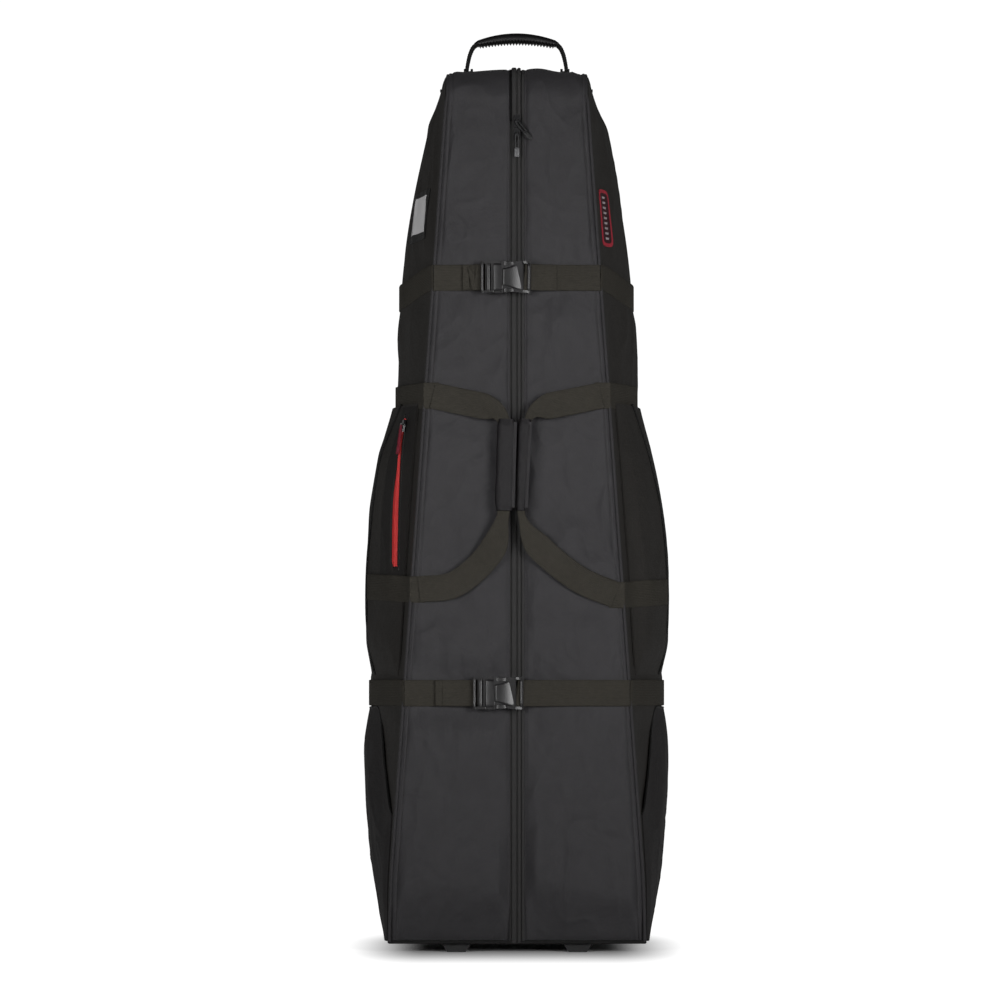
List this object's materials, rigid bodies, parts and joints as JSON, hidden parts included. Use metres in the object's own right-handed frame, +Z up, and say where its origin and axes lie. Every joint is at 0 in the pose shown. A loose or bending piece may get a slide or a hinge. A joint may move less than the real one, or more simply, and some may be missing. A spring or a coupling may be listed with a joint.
{
  "type": "golf travel case",
  "caption": "Tall soft golf travel case: full-length front zip, buckled compression straps, carry loops, moulded top handle, side pockets and wheeled base.",
  "frame": {"origin": "middle of the case's outline on the floor it stands on", "axes": "+Z up, -Y towards the front with the zip, +X to the right of someone facing the front"},
  "size_m": [0.4498, 0.3052, 1.343],
  "materials": {
    "front_fabric": "matt woven polyester with a waterproof coat",
    "side_fabric": "matt ripstop polyester",
    "webbing": "ribbed woven webbing",
    "binding": "bound seam tape",
    "zip_fabric": "zip tape",
    "red_zip": "dyed zip tape and pull",
    "label": "woven label",
    "buckle": "satin moulded acetal",
    "moulded": "moulded, fine texture",
    "grip_rubber": "soft moulded rubber",
    "tyre": "smooth urethane tread",
    "hub": "moulded",
    "steel": "zinc-plated",
    "zip_metal": "black enamel",
    "window": "clear vinyl",
    "board": "flat stiffener board"
  },
  "bodies": {
    "case": {"front_crown": "front_fabric", "front_kick": "front_fabric", "back_panel": "side_fabric", "side_panel_left": "side_fabric", "side_panel_right": "side_fabric", "top_panel": "side_fabric", "side_pocket_left": "side_fabric", "side_pocket_right": "side_fabric", "lower_pocket_left": "side_fabric", "lower_pocket_right": "side_fabric", "upper_strap_wrap": "webbing", "lower_strap_wrap": "webbing", "inner_strap": "webbing", "front_piping_left": "binding", "front_piping_right": "binding", "id_holder": "binding", "zip_crown": "zip_fabric", "zip_kick": "zip_fabric", "pocket_zip": "red_zip", "label_patch": "label", "handle_anchor_left": "moulded", "handle_anchor_right": "moulded", "base_plate": "moulded", "wheel_housing_left": "moulded", "wheel_housing_right": "moulded", "foot_left": "moulded", "foot_right": "moulded", "axle_left": "steel", "axle_right": "steel", "id_window": "window", "back_board": "board"},
    "flap_left": {"front_panel_left": "front_fabric", "zip_tape_left": "zip_fabric", "upper_strap_left": "webbing", "lower_strap_left": "webbing"},
    "flap_right": {"front_panel_right": "front_fabric", "zip_tape_right": "zip_fabric", "upper_strap_right": "webbing", "lower_strap_right": "webbing", "upper_buckle_socket": "buckle", "lower_buckle_socket": "buckle"},
    "upper_plug": {"upper_buckle_plug": "buckle"},
    "lower_plug": {"lower_buckle_plug": "buckle"},
    "loop_left": {"carry_loop_left": "webbing", "carry_grip_left": "side_fabric"},
    "loop_right": {"carry_loop_right": "webbing", "carry_grip_right": "side_fabric"},
    "zip_slider_upper": {"main_slider_upper": "zip_metal"},
    "zip_pull_upper": {"main_pull_upper": "moulded"},
    "zip_slider_lower": {"main_slider_lower": "zip_metal"},
    "zip_pull_lower": {"main_pull_lower": "moulded"},
    "pocket_zip_slider": {"pocket_slider": "zip_metal"},
    "pocket_zip_pull": {"pocket_pull": "red_zip"},
    "top_handle": {"handle_strap": "webbing", "handle_grip": "grip_rubber"},
    "wheel_left": {"wheel_hub_left": "hub", "wheel_tyre_left": "tyre"},
    "wheel_right": {"wheel_hub_right": "hub", "wheel_tyre_right": "tyre"}
  },
  "joints": [
    {"name": "flap_left_hinge", "type": "hinge", "parent": "case", "child": "flap_left", "pos_m": [-0.14544, -0.11743, 0.612], "axis": [-0.069, -0.0508, -0.9963], "range_deg": [0, 105]},
    {"name": "flap_right_hinge", "type": "hinge", "parent": "case", "child": "flap_right", "pos_m": [0.14544, -0.11743, 0.612], "axis": [-0.069, 0.0508, 0.9963], "range_deg": [0, 105]},
    {"name": "upper_buckle_release", "type": "slide", "parent": "flap_left", "child": "upper_plug", "axis": [-1, 0, 0], "range_m": [0, 0.028]},
    {"name": "lower_buckle_release", "type": "slide", "parent": "flap_left", "child": "lower_plug", "axis": [-1, 0, 0], "range_m": [0, 0.028]},
    {"name": "carry_loop_left_swing", "type": "hinge", "parent": "flap_left", "child": "loop_left", "pos_m": [-0.13815, -0.12065, 0.645], "axis": [-0.069, -0.0508, -0.9963], "range_deg": [0, 70]},
    {"name": "carry_loop_right_swing", "type": "hinge", "parent": "flap_right", "child": "loop_right", "pos_m": [0.13815, -0.12065, 0.645], "axis": [-0.069, 0.0508, 0.9963], "range_deg": [0, 70]},
    {"name": "zip_slider_upper_travel", "type": "slide", "parent": "case", "child": "zip_slider_upper", "axis": [0, 0.0509, 0.9987], "range_m": [0, 0.03]},
    {"name": "zip_pull_upper_swing", "type": "hinge", "parent": "zip_slider_upper", "child": "zip_pull_upper", "pos_m": [0, -0.09659, 1.19862], "axis": [-0.788, -0.0313, -0.6149], "range_deg": [0, 100]},
    {"name": "zip_slider_lower_travel", "type": "slide", "parent": "case", "child": "zip_slider_lower", "axis": [0, -0.0509, -0.9987], "range_m": [0, 1.1]},
    {"name": "zip_pull_lower_swing", "type": "hinge", "parent": "zip_slider_lower", "child": "zip_pull_lower", "pos_m": [0, -0.09756, 1.17962], "axis": [-1, 0, 0], "range_deg": [0, 100]},
    {"name": "pocket_slider_travel", "type": "hinge", "parent": "case", "child": "pocket_zip_slider", "pos_m": [1.3397, 0.34521, 0.47234], "axis": [0.2755, -0.9565, 0.0955], "range_deg": [0, 6.7]},
    {"name": "pocket_pull_swing", "type": "hinge", "parent": "pocket_zip_slider", "child": "pocket_zip_pull", "pos_m": [-0.16755, -0.06062, 0.75855], "axis": [-0.3115, 0.9462, -0.0879], "range_deg": [0, 100]},
    {"name": "top_handle_swing", "type": "hinge", "parent": "case", "child": "top_handle", "pos_m": [0, 0.02, 1.283], "axis": [1, 0, 0], "range_deg": [-55, 55]},
    {"name": "wheel_left_spin", "type": "hinge", "parent": "case", "child": "wheel_left", "pos_m": [-0.087, 0.118, 0.032], "axis": [1, 0, 0], "continuous": true},
    {"name": "wheel_right_spin", "type": "hinge", "parent": "case", "child": "wheel_right", "pos_m": [0.087, 0.118, 0.032], "axis": [1, 0, 0], "continuous": true}
  ],
  "couplings": [
    {"joint": "flap_right_hinge", "follows": "flap_left_hinge", "ratio": 1}
  ]
}
